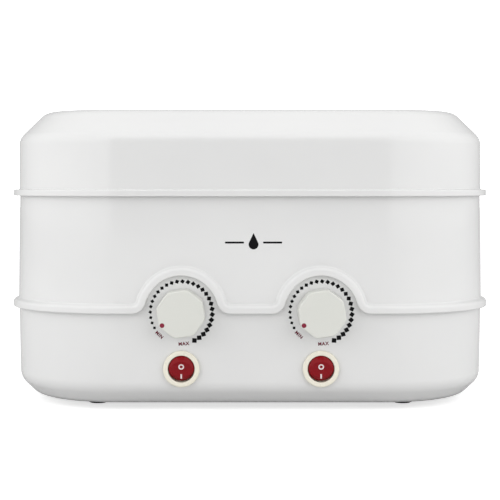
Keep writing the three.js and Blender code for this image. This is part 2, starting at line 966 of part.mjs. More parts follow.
function addPiece(parent, name, shape, look, place = point(0, 0, 0)) {
  const geometry = shape.isBufferGeometry ? shape : geometryOf(shape);
  const mesh = new THREE.Mesh(geometry, look);
  mesh.name = name;
  mesh.position.copy(place);
  parent.add(mesh);
  return mesh;
}

// A frame on the front wall: X to the right, Y up, Z towards the user.
function frontFrame(x, y, z) {
  const frame = new THREE.Group();
  frame.position.set(x, y, z);
  frame.rotation.x = Math.PI / 2;
  body.add(frame);
  return frame;
}

// The same on the rear wall, for someone who stands behind the heater.
function rearFrame(y, z) {
  const turn = new THREE.Group();
  turn.rotation.z = Math.PI;
  body.add(turn);
  const frame = new THREE.Group();
  frame.position.set(0, -y, z);
  frame.rotation.x = Math.PI / 2;
  turn.add(frame);
  return frame;
}

function addPots() {
  for (const { name, sign } of sides) {
    const place = point(sign * potX, 0, 0);
    addPiece(body, `well_${name}`, well(), aluminium, place);
    addPiece(body, `band_heater_${name}`, bandHeater(), heaterSteel, place);
    addPiece(body, `clamp_screw_${name}`, clampScrew(), zincSteel, place);
    addPiece(body, `thermal_fuse_${name}`, thermalFuse(), zincSteel, place);
    addPiece(body, `pot_${name}`, pot(), aluminium, place);
    addPiece(body, `bail_${name}`, bail(), zincSteel, place);
  }
}

function addControls() {
  for (const { name, sign } of sides) {
    const dial = frontFrame(sign * controlX, seamInset - bodyHalfY, dialZ);
    addPiece(dial, `thermostat_${name}`, thermostat(), blackPlastic);
    addPiece(dial, `thermostat_nut_${name}`, nut(), zincSteel);
    addPiece(dial, `dial_shaft_${name}`, shaft(), zincSteel);
    addPiece(dial, `knob_${name}`, knob(), knobPlastic);
    addPiece(dial, `pointer_dot_${name}`, pointerDot(), pointerRed);

    const wallY = baseInset(switchZ + bezelRadius) - bodyHalfY;
    const panel = frontFrame(sign * controlX, wallY, switchZ);
    addPiece(panel, `switch_body_${name}`, switchBody(), bezelPlastic);
    const paddle = addPiece(panel, `rocker_${name}`, rocker(), rockerRed, point(0, 0, 1));
    paddle.rotation.x = degrees(rockerTilt);
  }
}

function addBaseFittings() {
  const names = ['front_left', 'rear_left', 'front_right', 'rear_right'];
  names.forEach((name, i) => {
    addPiece(body, `foot_${name}`, foot(), greyRubber, footPlaces()[i]);
    addPiece(body, `case_screw_${name}`, caseScrew(), zincSteel, screwPlaces()[i]);
  });
  addPiece(body, 'terminal_block', terminalBlock(), bezelPlastic);
}

function addInlet() {
  const wallY = bodyHalfY - baseInset(inletZ + 12);
  const frame = rearFrame(wallY, inletZ);
  addPiece(frame, 'inlet_body', inletBody(), blackPlastic);
  const pinNames = ['neutral', 'earth', 'live'];
  pinPlaces().forEach((place, i) => {
    addPiece(frame, `inlet_pin_${pinNames[i]}`, inletPin(place), brass);
    addPiece(body, `${pinNames[i]}_lead`, inletLead(place), wireSleeve);
  });
  for (const { name, sign } of sides) {
    addPiece(frame, `inlet_screw_${name}`, flangeScrew(sign), zincSteel);
  }
}

function addWiring() {
  for (const { name, sign } of sides) {
    addPiece(body, `switch_lead_${name}`, switchLead(sign), wireSleeve);
    addPiece(body, `link_lead_${name}`, linkLead(sign), wireSleeve);
    addPiece(body, `heater_lead_${name}`, heaterLead(sign), wireSleeve);
  }
}

addPiece(body, 'base_shell', baseShell(), whiteGloss);
addPiece(body, 'upper_housing', upperHousing(), whiteGloss);
addPiece(body, 'deck', deck(), whiteGloss);
addPiece(body, 'lid', lid(), whiteGloss);
addPots();
addControls();
addBaseFittings();
addInlet();
addWiring();

export default product;
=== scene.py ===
import json
import math

import bmesh
import bpy
from mathutils import Matrix, Vector


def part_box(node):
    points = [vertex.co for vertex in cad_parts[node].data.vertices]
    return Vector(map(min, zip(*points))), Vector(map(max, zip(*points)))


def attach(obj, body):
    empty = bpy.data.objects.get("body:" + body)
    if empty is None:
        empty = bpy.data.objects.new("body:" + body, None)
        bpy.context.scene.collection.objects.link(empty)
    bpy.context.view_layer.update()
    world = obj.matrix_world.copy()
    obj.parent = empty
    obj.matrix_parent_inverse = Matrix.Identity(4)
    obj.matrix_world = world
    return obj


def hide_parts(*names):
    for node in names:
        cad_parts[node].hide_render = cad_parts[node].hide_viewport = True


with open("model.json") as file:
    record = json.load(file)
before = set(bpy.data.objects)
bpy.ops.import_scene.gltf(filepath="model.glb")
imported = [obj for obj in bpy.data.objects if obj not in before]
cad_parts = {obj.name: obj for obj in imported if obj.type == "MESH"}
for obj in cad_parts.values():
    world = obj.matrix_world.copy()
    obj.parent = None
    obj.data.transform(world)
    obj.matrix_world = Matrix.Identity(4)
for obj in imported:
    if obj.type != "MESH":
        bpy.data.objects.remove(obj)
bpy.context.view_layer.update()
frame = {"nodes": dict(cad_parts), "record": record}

# ------------------------------------------------------------------------------------------
# Sizes. Lengths are in millimetres from the middle of the body at table height until a mesh
# is made. What the CAD nodes give is read from the frame.

MM = 0.001
SIDES = (("left", -1), ("right", 1))


def span(node):
    """A CAD node's lowest and highest corner in millimetres, in the row frame."""
    low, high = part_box(node)
    return low / MM, high / MM


def middle(node):
    low, high = span(node)
    return (low + high) / 2


lid_low, lid_high = span("lid")
BODY_Y = middle("lid").y
LIP_REACH = 3.5
HALF_X = lid_high.x - LIP_REACH
HALF_Y = (lid_high.y - lid_low.y) / 2 - LIP_REACH
CORNER_RADIUS = 70
CORNER_STEPS = 28
WALL = 3
SHEET = 1.2

LID_TOP = lid_high.z
LID_FOOT = lid_low.z
LIP_HEIGHT = 4.2
LIP_TOP = LID_FOOT + LIP_HEIGHT
LID_CHAMFER = 18
LID_INSET = 0.2
HOUSING_TOP = span("upper_housing")[1].z
HOUSING_DRAFT = 0.7
FLANGE_RISE = 0.3
DECK_TOP = span("well_left")[1].z - SHEET - FLANGE_RISE
BASE_FOOT = span("base_shell")[0].z
BASE_CHAMFER = 11
BASE_BEVEL_TOP = BASE_FOOT + BASE_CHAMFER
BASE_DRAFT = 1.4
SEAM_INSET = 0.2
SEAM = 66.1

RIB_BELOW = 3.8
RIB_REACH = 3.5
ARCH_RADIUS = 26.9
ARCH_FOOT = 5.2
# The upper wall is upright past the rib and leans in from here to its top.
LEAN_START = SEAM + 4.6

CONTROL_X = middle("knob_right").x
DIAL_Z = middle("dial_shaft_right").z
SWITCH_Z = middle("switch_body_right").z
POT_X = middle("pot_right").x
ENDS = ("front_left", "rear_left", "front_right", "rear_right")


def places(kind):
    """Where the four nodes of a kind stand in plan, in the order of ENDS."""
    made = []
    for end in ENDS:
        at = middle(f"{kind}_{end}")
        made.append((at.x, at.y - BODY_Y))
    return made


# ------------------------------------------------------------------------------------------
# Shapes. Each shape function gives (vertices, faces).


def arc(centre_x, centre_y, radius, start, end, steps):
    """Points on a circular arc, ends included; angles in degrees."""
    angles = [math.radians(start + (end - start) * i / steps) for i in range(steps + 1)]
    return [(centre_x + radius * math.cos(a), centre_y + radius * math.sin(a)) for a in angles]


def curve(points, steps):
    """A Bezier curve of any degree through its control points' ends."""
    made = []
    for i in range(steps + 1):
        level = [Vector(p) for p in points]
        while len(level) > 1:
            level = [a.lerp(b, i / steps) for a, b in zip(level, level[1:])]
        made.append(tuple(level[0]))
    return made


def softened(corners, steps=5):
    """A profile of (x, y) or (x, y, rounding) corners, each rounded corner as a curve."""
    made = []
    for i, corner in enumerate(corners):
        here = Vector(corner[:2])
        if len(corner) == 2:
            made.append(tuple(here))
            continue
        ends = []
        for other in (corners[i - 1], corners[(i + 1) % len(corners)]):
            ends.append(here + (Vector(other[:2]) - here).normalized() * corner[2])
        made += curve([ends[0], here, ends[1]], steps)
    return made


def bridged(rings, loop=False, capped=(False, False)):
    """A skin over rings with equal numbers of points."""
    count = len(rings[0])
    vertices = [tuple(p) for ring in rings for p in ring]
    faces = []
    for r in range(len(rings) if loop else len(rings) - 1):
        start, after = r * count, (r + 1) % len(rings) * count
        for i in range(count):
            j = (i + 1) % count
            faces.append((start + i, start + j, after + j, after + i))
    if capped[0]:
        faces.append(tuple(range(count - 1, -1, -1)))
    if capped[1]:
        faces.append(tuple(range(len(vertices) - count, len(vertices))))
    return vertices, faces


def turned(profile, steps=72):
    """A solid of revolution about Z from a closed (radius, z) profile."""
    rings = []
    for i in range(steps):
        angle = 2 * math.pi * i / steps
        rings.append([(r * math.cos(angle), r * math.sin(angle), z) for r, z in profile])
    return bridged(rings, loop=True)


def slab(outline, low, high, rounding=0.0):
    """An outline in XY as a plate from low to high, with its edges rounded."""
    if not rounding:
        rings = [[(x, y, z) for x, y in outline] for z in (low, high)]
        return bridged(rings, capped=(True, True))
    centre = Vector((sum(x for x, _ in outline), sum(y for _, y in outline))) / len(outline)
    rings = []
    for inset, z in softened([
        (2 * rounding, low), (0, low, rounding), (0, high, rounding), (2 * rounding, high),
    ]):
        ring = []
        for x, y in outline:
            inward = (centre - Vector((x, y))).normalized() * inset
            ring.append((x + inward.x, y + inward.y, z))
        rings.append(ring)
    return bridged(rings, capped=(True, True))


def tube(points, radius, steps=14):
    """A round wire through points that lie in one level plane."""
    rings = []
    for i, p in enumerate(points):
        before = Vector(points[max(i - 1, 0)])
        after = Vector(points[min(i + 1, len(points) - 1)])
        along = (after - before).normalized()
        aside = along.cross(Vector((0, 0, 1)))
        ring = []
        for k in range(steps):
            angle = 2 * math.pi * k / steps
            offset = aside * math.cos(angle) + Vector((0, 0, 1)) * math.sin(angle)
            ring.append(Vector(p) + offset * radius)
        rings.append(ring)
    return bridged(rings, capped=(True, True))


def together(*shapes):
    vertices, faces = [], []
    for shape_vertices, shape_faces in shapes:
        first = len(vertices)
        vertices += shape_vertices
        faces += [tuple(first + i for i in face) for face in shape_faces]
    return vertices, faces


def moved(shape, matrix):
    vertices, faces = shape
    return [tuple(matrix @ Vector(v)) for v in vertices], faces


def on_front(x, y, z):
    """Places a shape made with X to the right, Y up and Z out of the front wall."""
    return Matrix.Translation((x, y, z)) @ Matrix.Rotation(math.pi / 2, 4, "X")


def on_rear(y, z):
    return Matrix.Rotation(math.pi, 4, "Z") @ on_front(0, -y, z)


# ------------------------------------------------------------------------------------------
# Pieces


def mesh_object(name, shape, sharp=32):
    """An object from a shape in millimetres, smooth but for edges sharper than an angle."""
    vertices, faces = shape
    mesh = bpy.data.meshes.new(name)
    mesh.from_pydata([(x * MM, (y + BODY_Y) * MM, z * MM) for x, y, z in vertices], [], faces)
    tidy = bmesh.new()
    tidy.from_mesh(mesh)
    bmesh.ops.remove_doubles(tidy, verts=tidy.verts, dist=1e-7)
    bmesh.ops.dissolve_degenerate(tidy, edges=tidy.edges, dist=1e-7)
    bmesh.ops.recalc_face_normals(tidy, faces=tidy.faces)
    tidy.to_mesh(mesh)
    tidy.free()
    mesh.shade_smooth()
    mesh.set_sharp_from_angle(angle=math.radians(sharp))
    obj = bpy.data.objects.new(name, mesh)
    bpy.context.scene.collection.objects.link(obj)
    return obj


def bored(obj, tools, sharp=32):
    """Cuts shapes out of an object and leaves its mesh plain."""
    for i, tool in enumerate(tools):
        cutter = mesh_object(f"cutter_{i}", tool)
        step = obj.modifiers.new("cut", "BOOLEAN")
        step.operation = "DIFFERENCE"
        step.solver = "EXACT"
        step.object = cutter
        depsgraph = bpy.context.evaluated_depsgraph_get()
        result = bpy.data.meshes.new_from_object(obj.evaluated_get(depsgraph))
        obj.modifiers.clear()
        obj.data = result
        bpy.data.objects.remove(cutter)
    obj.data.shade_smooth()
    obj.data.set_sharp_from_angle(angle=math.radians(sharp))
    return obj


def finished(obj, body, look, *nodes):
    """Gives a piece its material and slot, and sets it on its body in place of CAD nodes."""
    obj.data.materials.clear()
    obj.data.materials.append(look)
    obj.modifiers.new("even_shading", "WEIGHTED_NORMAL").keep_sharp = True
    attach(obj, body)
    if nodes:
        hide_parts(*nodes)
    return obj


def bar(radius, low, high, x=0.0, y=0.0, steps=32):
    return slab(arc(x, y, radius, 0, 360 - 360 / steps, steps - 1), low, high)


def box_shape(low, high):
    (x0, y0, z0), (x1, y1, z1) = low, high
    return slab([(x0, y0), (x1, y0), (x1, y1), (x0, y1)], z0, z1)


# ------------------------------------------------------------------------------------------
# Plan of the body and the line of the seam


def plan(offset=0.0, steps=CORNER_STEPS):
    """The rounded rectangle, as (x, y) and its outward direction, counterclockwise."""
    x, y = HALF_X - CORNER_RADIUS, HALF_Y - CORNER_RADIUS
    made = []
    for centre_x, centre_y, start in ((x, -y, -90), (x, y, 0), (-x, y, 90), (-x, -y, 180)):
        for px, py in arc(centre_x, centre_y, CORNER_RADIUS + offset, start, start + 90, steps):
            outward = Vector((px - centre_x, py - centre_y, 0)).normalized()
            made.append((Vector((px, py, 0)), outward))
    return made


def plan_rings(profile):
    """One ring round the plan for each (offset, z) of a profile."""
    return [[(p.x, p.y, z) for p, _ in plan(offset)] for offset, z in profile]


def straight(start, end, steps):
    """Points between two (x, z) places, without either."""
    return [tuple(Vector(start).lerp(Vector(end), i / steps)) for i in range(1, steps)]


def seam_front():
    """The seam across the front as (x, z): straight, with an arch over each dial."""
    foot_z = SEAM + ARCH_FOOT
    foot_x = math.sqrt((ARCH_RADIUS + ARCH_FOOT) ** 2 - (foot_z - DIAL_Z) ** 2)
    lean = math.degrees(math.atan2(foot_z - DIAL_Z, foot_x))
    line = []
    last = (-(HALF_X - CORNER_RADIUS), SEAM)
    for _, sign in SIDES:
        x = sign * CONTROL_X
        foot_in = arc(x - foot_x, foot_z, ARCH_FOOT, -90, -lean, 8)
        over = arc(x, DIAL_Z, ARCH_RADIUS, 180 - lean, lean, 56)[1:-1]
        foot_out = arc(x + foot_x, foot_z, ARCH_FOOT, 180 + lean, 270, 8)
        line += straight(last, foot_in[0], 8) + foot_in + over + foot_out
        last = foot_out[-1]
    return line + straight(last, (HALF_X - CORNER_RADIUS, SEAM), 8)


def seam_line():
    """The seam round the whole body: (place, outward, upward) at each point."""
    front = [Vector((x, -HALF_Y, z)) for x, z in seam_front()]
    outwards = [Vector((0, -1, 0))] * len(front)
    for p, outward in plan():
        front.append(Vector((p.x, p.y, SEAM)))
        outwards.append(outward)
    line = []
    for i, (place, outward) in enumerate(zip(front, outwards)):
        along = front[(i + 1) % len(front)] - front[i - 1]
        line.append((place, outward, outward.cross(along).normalized()))
    return line


def seam_ring(place, outward, upward, near, far, inset):
    """One section at a seam point: near is (out, up) from the seam, far is (out, z).

    The wall stands back from the plan by inset(z), which leaves its flats flat.
    """
    ring = [place + outward * out + upward * up for out, up in near]
    level = Vector((place.x, place.y, 0))
    ring += [level + outward * out + Vector((0, 0, z)) for out, z in far]
    return [p - outward * inset(p.z) for p in ring]


def housing_inset(z):
    """How far the upper wall stands inside the plan at a height."""
    return HOUSING_DRAFT * max(z - LEAN_START, 0) / (HOUSING_TOP - LEAN_START)


def base_inset(z):
    """How far the base wall stands inside the plan at a height."""
    share = min((z - BASE_BEVEL_TOP) / (SEAM - BASE_BEVEL_TOP), 1)
    return BASE_DRAFT + (SEAM_INSET - BASE_DRAFT) * share


# ------------------------------------------------------------------------------------------
# Materials: each is named after its slot in the record


def material(name, colour, roughness, metallic=0.0):
    made = bpy.data.materials.new(name)
    made["slot"] = name
    made.use_nodes = True
    shader = made.node_tree.nodes["Principled BSDF"]
    shader.inputs["Base Color"].default_value = (*colour, 1)
    shader.inputs["Roughness"].default_value = roughness
    shader.inputs["Metallic"].default_value = metallic
    return made


def node(made, kind, **settings):
    new = made.node_tree.nodes.new(kind)
    for key, value in settings.items():
        if key in new.inputs:
            new.inputs[key].default_value = value
        else:
            setattr(new, key, value)
    return new


def link(made, source, target):
    made.node_tree.links.new(source, target)


def noise(made, size, detail=4.0, vector=None):
    """Noise with features of a size in millimetres, in the object's own coordinates."""
    texture = node(made, "ShaderNodeTexNoise", Scale=1 / (size * MM), Detail=detail)
    if vector is None:
        vector = node(made, "ShaderNodeTexCoord").outputs["Object"]
    link(made, vector, texture.inputs["Vector"])
    return texture.outputs["Fac"]


# A texture's values up to the first give a look's low value, and from the second its high.
NOISE_LOW = 0.3
NOISE_HIGH = 0.7


def vary(made, source, socket, low, high):
    """Drives a shader number from a texture, between two values."""
    spread = node(made, "ShaderNodeMapRange")
    spread.inputs["From Min"].default_value = NOISE_LOW
    spread.inputs["From Max"].default_value = NOISE_HIGH
    spread.inputs["To Min"].default_value = low
    spread.inputs["To Max"].default_value = high
    link(made, source, spread.inputs["Value"])
    link(made, spread.outputs["Result"], made.node_tree.nodes["Principled BSDF"].inputs[socket])


def tint(made, source, first, second):
    """Drives the base colour from a texture, between two colours."""
    ramp = node(made, "ShaderNodeValToRGB")
    ramp.color_ramp.elements[0].position = NOISE_LOW
    ramp.color_ramp.elements[1].position = NOISE_HIGH
    ramp.color_ramp.elements[0].color = (*first, 1)
    ramp.color_ramp.elements[1].color = (*second, 1)
    link(made, source, ramp.inputs["Fac"])
    link(made, ramp.outputs["Color"], made.node_tree.nodes["Principled BSDF"].inputs["Base Color"])


def relief(made, source, depth, strength=1.0):
    """Bump of a depth in millimetres."""
    bump = node(made, "ShaderNodeBump", Strength=strength, Distance=depth * MM)
    link(made, source, bump.inputs["Height"])
    link(made, bump.outputs["Normal"], made.node_tree.nodes["Principled BSDF"].inputs["Normal"])


def moulded(name, low, high, roughness, grain, depth):
    """Moulded plastic: a trace of colour drift, uneven gloss and a fine skin."""
    drift_size = 60
    gloss_size = 25
    made = material(name, low, roughness)
    tint(made, noise(made, drift_size), low, high)
    vary(made, noise(made, gloss_size), "Roughness", roughness * 0.85, roughness * 1.2)
    relief(made, noise(made, grain, detail=3), depth, strength=0.5)
    return made


def maths(tree, operation, *values):
    """A Math node's result from numbers and other nodes' results."""
    step = tree.nodes.new("ShaderNodeMath")
    step.operation = operation
    for socket, value in zip(step.inputs, values):
        if isinstance(value, (int, float)):
            socket.default_value = value
        else:
            tree.links.new(value, socket)
    return step.outputs[0]


def ring_coordinates(made):
    """Distance from the nearest pot's axis and height, for marks left by spinning."""
    tree = made.node_tree
    split = node(made, "ShaderNodeSeparateXYZ")
    link(made, node(made, "ShaderNodeTexCoord").outputs["Object"], split.inputs[0])
    x = maths(tree, "SUBTRACT", maths(tree, "ABSOLUTE", split.outputs["X"]), POT_X * MM)
    y = maths(tree, "SUBTRACT", split.outputs["Y"], BODY_Y * MM)
    squares = maths(tree, "ADD", maths(tree, "POWER", x, 2), maths(tree, "POWER", y, 2))
    join = node(made, "ShaderNodeCombineXYZ")
    link(made, maths(tree, "SQRT", squares), join.inputs[0])
    link(made, split.outputs["Z"], join.inputs[1])
    return join.outputs[0]


def spun(name, low, high, roughness):
    """Spun metal: fine rings round each pot's axis."""
    mottle_size = 18
    gloss_ring = 0.8
    groove_ring = 0.7
    groove_depth = 0.02
    made = material(name, low, roughness, metallic=1.0)
    rings = ring_coordinates(made)
    tint(made, noise(made, mottle_size), low, high)
    streaks = noise(made, gloss_ring, detail=5, vector=rings)
    vary(made, streaks, "Roughness", roughness * 0.8, roughness * 1.35)
    relief(made, noise(made, groove_ring, vector=rings), groove_depth, strength=0.35)
    return made


def plated(name, low, high, roughness):
    """Plated or bare metal with a mottled finish."""
    mottle_size = 3
    gloss_size = 1.2
    grain_size = 0.5
    grain_depth = 0.01
    made = material(name, low, roughness, metallic=1.0)
    tint(made, noise(made, mottle_size), low, high)
    vary(made, noise(made, gloss_size), "Roughness", roughness * 0.8, roughness * 1.3)
    relief(made, noise(made, grain_size), grain_depth, strength=0.4)
    return made


def woven(name, low, high):
    """Braided glass sleeve: two sets of fine diagonal strands."""
    strand_width = 1.1
    strand_depth = 0.06
    made = material(name, low, roughness=0.7)
    strands = node(made, "ShaderNodeTexWave", Scale=1 / (strand_width * MM), Distortion=1.5)
    strands.bands_direction = "DIAGONAL"
    link(made, node(made, "ShaderNodeTexCoord").outputs["Object"], strands.inputs["Vector"])
    tint(made, strands.outputs["Fac"], low, high)
    relief(made, strands.outputs["Fac"], strand_depth, strength=0.6)
    return made


white_gloss = moulded("white_gloss", (0.775, 0.775, 0.772), (0.795, 0.795, 0.79), 0.2, 1.6, 0.006)
knob_plastic = moulded("knob_plastic", (0.71, 0.715, 0.67), (0.73, 0.735, 0.69), 0.34, 0.5, 0.01)
bezel_plastic = moulded("bezel_plastic", (0.86, 0.82, 0.70), (0.88, 0.845, 0.73), 0.28, 0.7, 0.008)
pointer_red = moulded("pointer_red", (0.22, 0.02, 0.045), (0.26, 0.03, 0.055), 0.4, 0.4, 0.006)
rocker_red = moulded("rocker_red", (0.22, 0.002, 0.006), (0.27, 0.003, 0.009), 0.16, 0.9, 0.004)
black_plastic = moulded("black_plastic", (0.018, 0.018, 0.02), (0.03, 0.03, 0.032), 0.5, 0.3, 0.03)
grey_rubber = moulded("grey_rubber", (0.045, 0.045, 0.048), (0.07, 0.07, 0.073), 0.8, 0.4, 0.05)
aluminium = spun("aluminium", (0.78, 0.78, 0.79), (0.86, 0.86, 0.865), 0.26)
zinc_steel = plated("zinc_steel", (0.60, 0.61, 0.62), (0.72, 0.73, 0.735), 0.28)
heater_steel = plated("heater_steel", (0.34, 0.29, 0.22), (0.48, 0.44, 0.38), 0.42)
brass = plated("brass", (0.66, 0.47, 0.18), (0.74, 0.56, 0.26), 0.27)
wire_sleeve = woven("wire_sleeve", (0.52, 0.50, 0.44), (0.72, 0.70, 0.64))


def coated(made, weight, roughness, level):
    """Sets a clear coat and how strongly the plastic under it mirrors."""
    shader = made.node_tree.nodes["Principled BSDF"]
    shader.inputs["Coat Weight"].default_value = weight
    shader.inputs["Coat Roughness"].default_value = roughness
    shader.inputs["Specular IOR Level"].default_value = level


coated(white_gloss, 0.9, 0.05, 0.5)
coated(rocker_red, 0.2, 0.04, 0.15)
coated(pointer_red, 0, 0.1, 0.2)

# Inks take the slot of the plastic that they are printed on.


def ink(name, under, low, high):
    made = moulded(name, low, high, 0.6, 0.3, 0.004)
    made["slot"] = under
    coated(made, 0, 0.1, 0.08)
    return made


black_ink = ink("black_ink", "white_gloss", (0.004, 0.004, 0.004), (0.008, 0.008, 0.009))
maroon_ink = ink("maroon_ink", "white_gloss", (0.11, 0.008, 0.02), (0.15, 0.014, 0.03))
white_ink = ink("white_ink", "rocker_red", (0.84, 0.72, 0.72), (0.90, 0.80, 0.80))


# ------------------------------------------------------------------------------------------
# Lid


def make_lid():
    skirt_inner = -HOUSING_DRAFT + 0.4
    ceiling = LID_TOP - WALL
    half_wall = WALL / 2
    rebate_top = HOUSING_TOP + 0.3
    outer = softened([
        (-HOUSING_DRAFT + 0.6, LID_FOOT),
        (LIP_REACH, LID_FOOT, 0.7),
        (LIP_REACH, LIP_TOP, 0.9),
        (-LID_INSET, LIP_TOP, 0.8),
        (-LID_INSET, LID_TOP - LID_CHAMFER, 4.5),
        (-LID_INSET - LID_CHAMFER, LID_TOP, 5.5),
        (-LID_INSET - 2 * LID_CHAMFER, LID_TOP),
    ], 8)
    inner = softened([
        (-LID_INSET - 2 * LID_CHAMFER, ceiling),
        (-LID_INSET - LID_CHAMFER - half_wall, ceiling, 6),
        (-LID_INSET - WALL, LID_TOP - LID_CHAMFER - half_wall, 6),
        (-LID_INSET - WALL, rebate_top),
        (skirt_inner, rebate_top),
        (skirt_inner, LID_FOOT + 0.3),
    ], 6)
    rings = plan_rings(inner + outer)
    shell = mesh_object("lid_shell", bridged(rings, capped=(True, True)))
    finished(shell, "lid", white_gloss, "lid")


# ------------------------------------------------------------------------------------------
# Upper housing: wall with its rib and ledge, deck panel and screw posts


def make_housing_wall():
    foot = -0.1
    skirt_gap = 0.12
    shoulder = -0.8
    mid_wall = 99
    ledge_reach = 4
    ledge_top = DECK_TOP - WALL - 0.3
    ledge_foot = DECK_TOP - WALL - 2.8
    near = [(-SEAM_INSET - WALL, foot), (skirt_gap, foot)]
    near += softened([
        (skirt_gap, -RIB_BELOW, 0.2),
        (RIB_REACH, -RIB_BELOW, 0.9),
        (RIB_REACH, shoulder),
    ], 4)
    over_rib = [(RIB_REACH, shoulder), (RIB_REACH, 0.8), (2.3, 1.5), (0.5, 1.6), (0, 2.9)]
    near += curve(over_rib, 12)[1:]
    far = softened([
        (0, mid_wall),
        (0, HOUSING_TOP, 0.9),
        (-WALL, HOUSING_TOP, 0.9),
        (-WALL, ledge_top),
        (-WALL - ledge_reach, ledge_top, 0.4),
        (-WALL - ledge_reach, ledge_foot, 0.4),
        (-WALL, ledge_foot),
        (-WALL, mid_wall),
    ], 4)
    rings = [seam_ring(*at, near, far, housing_inset) for at in seam_line()]
    wall = mesh_object("housing_wall", bridged(rings, loop=True))
    finished(wall, "housing", white_gloss, "upper_housing")


def make_deck():
    edge = -HOUSING_DRAFT - WALL - 0.25
    strip_end = -HOUSING_DRAFT - WALL - 20
    hole_radius = 55.5
    cut = 9
    plate = bridged(plan_rings(softened([
        (strip_end, DECK_TOP - WALL),
        (edge, DECK_TOP - WALL),
        (edge, DECK_TOP, 0.6),
        (strip_end, DECK_TOP),
    ], 5)), capped=(True, True))
    panel = mesh_object("deck_panel", plate)
    holes = []
    for _, sign in SIDES:
        holes.append(bar(hole_radius, DECK_TOP - cut, DECK_TOP + cut, sign * POT_X, 0, 96))
    finished(bored(panel, holes), "housing", white_gloss, "deck")


def make_deck_posts():
    """The posts under the deck that the case screws bite into."""
    post_radius = 4.5
    post_foot = 10
    bore_radius = 2.1
    bore_end = 26.3
    corners = places("case_screw")
    posts = [bar(post_radius, post_foot, DECK_TOP - 1, x, y) for x, y in corners]
    bores = [bar(bore_radius, 0, bore_end, x, y) for x, y in corners]
    finished(bored(mesh_object("deck_posts", together(*posts)), bores), "housing", white_gloss)


# ------------------------------------------------------------------------------------------
# Base shell


def make_base():
    mid_wall = 38
    floor_edge = -BASE_CHAMFER - 12
    inner = softened([
        (floor_edge, BASE_FOOT + WALL),
        (-BASE_CHAMFER - 1.5, BASE_FOOT + WALL, 3),
        (-WALL, BASE_BEVEL_TOP + 1.5, 3),
        (-WALL, mid_wall),
    ], 4)
    edge = [(-WALL, -0.4), (0, -0.4)]
    outer = softened([
        (0, SEAM - 1),
        (0, mid_wall),
        (0, BASE_BEVEL_TOP, 4.5),
        (-BASE_CHAMFER, BASE_FOOT, 4.5),
        (floor_edge, BASE_FOOT),
    ], 7)
    rings = []
    for at in seam_line():
        ring = seam_ring(*at, [], inner, base_inset)
        rings.append(ring + seam_ring(*at, edge, outer, base_inset))
    count = len(rings[0])
    vertices, faces = bridged(rings, loop=True)
    # Each ring is open between its last point and its first; the floor and the underside
    # close the shell there.
    faces = [f for f in faces if {i % count for i in f} != {0, count - 1}]
    starts = [r * count for r in range(len(rings))]
    faces.append(tuple(starts))
    faces.append(tuple(start + count - 1 for start in reversed(starts)))
    shell = mesh_object("base_tub", (vertices, faces))
    finished(bored(shell, base_cuts()), "housing", white_gloss, "base_shell")


def base_cuts():
    """Tools for the openings: switches, dial shafts, vents, screws, feet and inlet."""
    switch_radius = 10.2
    shaft_radius = 5.1
    cut = 8
    vents = 5
    vent_spacing = 10
    vent_half_width = 1.5
    vent_half_length = 20
    vent_top = 9
    screw_radius = 3.9
    screw_recess = 6
    foot_radius = 7.3
    foot_recess = 5.1
    inlet_half_width = 14
    inlet_half_height = 10.3
    cuts = []
    for _, sign in SIDES:
        for radius, z in ((switch_radius, SWITCH_Z), (shaft_radius, DIAL_Z)):
            at = on_front(sign * CONTROL_X, -HALF_Y + 2, z)
            cuts.append(moved(bar(radius, -cut, cut), at))
        for i in range(vents):
            x = sign * POT_X + (i - (vents - 1) / 2) * vent_spacing
            low = (x - vent_half_width, -vent_half_length, 0)
            cuts.append(box_shape(low, (x + vent_half_width, vent_half_length, vent_top)))
    for x, y in places("case_screw"):
        cuts.append(bar(screw_radius, 0, screw_recess, x, y))
    for x, y in places("foot"):
        cuts.append(bar(foot_radius, 0, foot_recess, x, y, 48))
    inlet_z = middle("inlet_body").z
    cuts.append(box_shape(
        (-inlet_half_width, HALF_Y - 9, inlet_z - inlet_half_height),
        (inlet_half_width, HALF_Y + 3, inlet_z + inlet_half_height),
    ))
    return cuts


# ------------------------------------------------------------------------------------------
# Pots, bails and wells

POT_INNER = 52
POT_OUTER = POT_INNER + SHEET
POT_RIM = 130.5
RIM_REACH = 3.9
RIM_ROLL = 2.7
EYE_Z = 133
EAR_X = POT_INNER + 3.6
EAR_THICKNESS = 2
WIRE_RADIUS = 1.75


def make_pots():
    for name, sign in SIDES:
        place = Matrix.Translation((sign * POT_X, 0, 0))
        make_pot_cup(name, place)
        for end, direction in SIDES:
            ear_x = direction * EAR_X - EAR_THICKNESS / 2
            make_ear(name, end, place @ Matrix.Translation((ear_x, 0, 0)))
        make_bail(name, place)


def make_pot_cup(name, place):
    floor = span("pot_left")[0].z
    profile = softened([
        (0, floor),
        (POT_OUTER, floor, 3.4),
        (POT_OUTER, POT_RIM - RIM_ROLL, 0.6),
        (POT_OUTER + RIM_REACH, POT_RIM - RIM_ROLL, 1.25),
        (POT_OUTER + RIM_REACH, POT_RIM, 1.25),
        (POT_INNER, POT_RIM, 1.1),
        (POT_INNER, floor + SHEET, 4.2),
        (0, floor + SHEET),
    ], 6)
    cup = mesh_object(f"pot_cup_{name}", moved(turned(profile, 128), place))
    finished(cup, f"pot_{name}", aluminium, f"pot_{name}")


